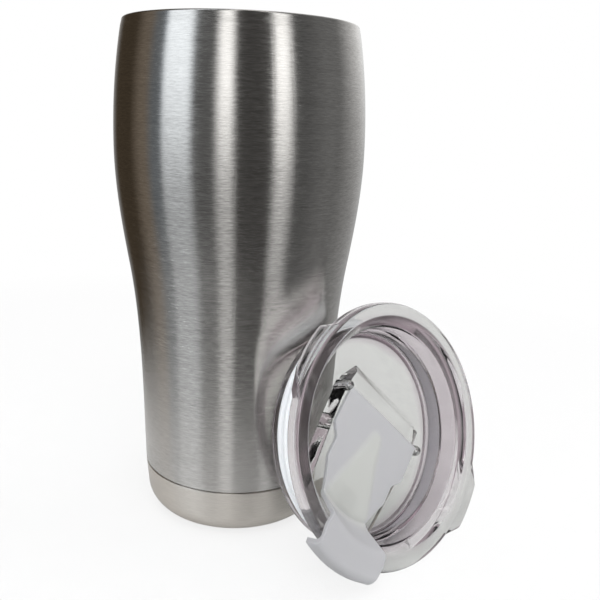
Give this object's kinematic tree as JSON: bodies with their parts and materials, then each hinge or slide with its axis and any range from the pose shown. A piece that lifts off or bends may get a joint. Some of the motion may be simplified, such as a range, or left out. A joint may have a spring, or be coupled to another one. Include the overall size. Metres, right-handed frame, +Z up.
{
  "type": "insulated tumbler with lid",
  "caption": "Double-walled steel tumbler with a waisted body and rounded base cap, and a clear flip-top drinking lid with a soft gasket that leans beside it.",
  "frame": {"origin": "centre of the cup's base face, on the floor", "axes": "+Z up along the cup's axis; the leaning lid's face looks towards -Y"},
  "size_m": [0.1188, 0.142, 0.2],
  "materials": {
    "outer_shell": "brushed round the axis",
    "inner_liner": "electropolished satin",
    "radiation_foil": "bright foil",
    "vacuum_base": "mill finish",
    "seal_bead": "dark solder glass",
    "getter": "sintered tablet",
    "getter_clip": "plain strip",
    "cap_glue": "cured adhesive",
    "base_cap": "finer satin than the shell",
    "lid_body": "clear and polished",
    "lid_gasket": "translucent silicone",
    "flap": "frosted translucent",
    "flap_stopper": "soft translucent silicone"
  },
  "bodies": {
    "tumbler": {"outer_shell": "outer_shell", "inner_liner": "inner_liner", "radiation_foil": "radiation_foil", "vacuum_base": "vacuum_base", "seal_bead": "seal_bead", "getter": "getter", "getter_clip": "getter_clip", "cap_glue": "cap_glue", "base_cap": "base_cap"},
    "lid": {"lid_body": "lid_body", "lid_gasket": "lid_gasket"},
    "flap": {"flap": "flap", "flap_stopper": "flap_stopper"}
  },
  "joints": [
    {"name": "lid_lift", "type": "slide", "parent": "tumbler", "child": "lid", "axis": [0, -0.9558, 0.294], "range_m": [0, 0.1]},
    {"name": "flap_hinge", "type": "hinge", "parent": "lid", "child": "flap", "pos_m": [0.02303, -0.06407, 0.05099], "axis": [-0.6691, 0.2185, 0.7103], "range_deg": [0, 105]}
  ]
}
